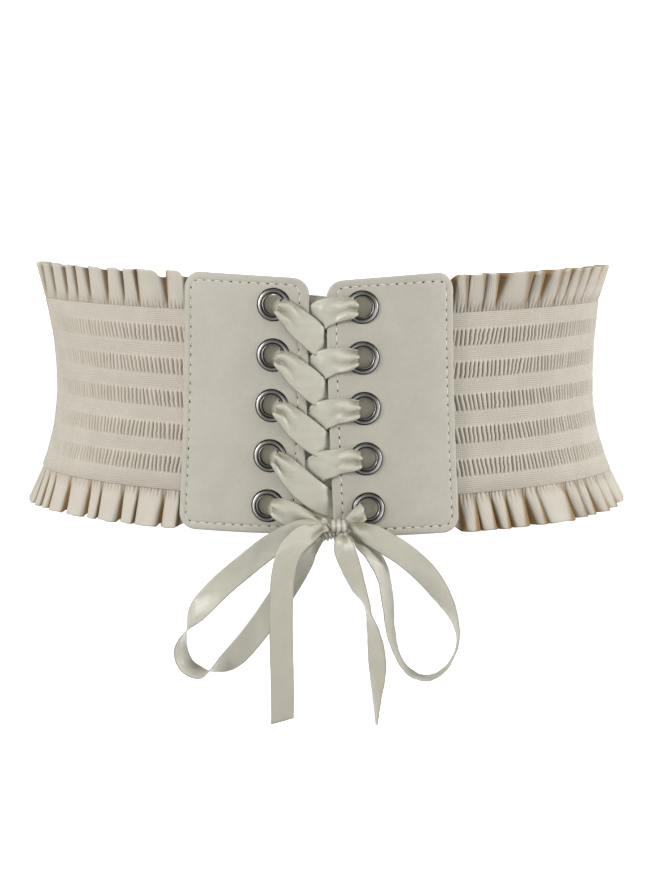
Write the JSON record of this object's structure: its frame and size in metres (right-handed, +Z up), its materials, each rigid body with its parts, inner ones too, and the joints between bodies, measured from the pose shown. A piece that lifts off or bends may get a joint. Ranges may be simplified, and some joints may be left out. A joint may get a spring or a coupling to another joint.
{
  "type": "corset belt",
  "caption": "Wide elastic waist belt with gathered stripes and ruffled edges, and two leather-like front panels laced together by a satin ribbon tied in a bow.",
  "frame": {"origin": "centre of the waist opening at the height where the belt is narrowest", "axes": "+Z up as worn, front and lacing towards -Y, +X to the right of the front seen from outside"},
  "size_m": [0.3109, 0.2344, 0.2168],
  "materials": {
    "elastic_knit": "ribbed elastic knit with gathered stripes, warm beige",
    "ruffle_cloth": "gathered ribbed cloth, warm beige",
    "artificial_leather": "soft artificial leather, pale greige, low sheen",
    "backing_cloth": "plain matt backing, greige",
    "eyelet_metal": "polished dark nickel",
    "satin_ribbon": "satin, greenish cream, soft sheen"
  },
  "bodies": {
    "root": {"elastic_left": "elastic_knit", "top_ruffle_left": "ruffle_cloth", "bottom_ruffle_left": "ruffle_cloth", "front_panel_left": "artificial_leather", "eyelet_left_1": "eyelet_metal", "lace_left_1": "satin_ribbon", "eyelet_left_2": "eyelet_metal", "lace_left_2": "satin_ribbon", "eyelet_left_3": "eyelet_metal", "lace_left_3": "satin_ribbon", "eyelet_left_4": "eyelet_metal", "lace_left_4": "satin_ribbon", "eyelet_left_5": "eyelet_metal", "lace_left_5": "satin_ribbon", "elastic_right": "elastic_knit", "top_ruffle_right": "ruffle_cloth", "bottom_ruffle_right": "ruffle_cloth", "front_panel_right": "artificial_leather", "eyelet_right_1": "eyelet_metal", "lace_right_1": "satin_ribbon", "eyelet_right_2": "eyelet_metal", "lace_right_2": "satin_ribbon", "eyelet_right_3": "eyelet_metal", "lace_right_3": "satin_ribbon", "eyelet_right_4": "eyelet_metal", "lace_right_4": "satin_ribbon", "eyelet_right_5": "eyelet_metal", "lace_right_5": "satin_ribbon", "lacing_backing": "backing_cloth", "lace_bar": "satin_ribbon", "bow_knot": "satin_ribbon", "bow_loop_left": "satin_ribbon", "bow_loop_right": "satin_ribbon", "bow_tail_left": "satin_ribbon", "bow_tail_right": "satin_ribbon", "back_closure": "elastic_knit"}
  },
  "joints": []
}
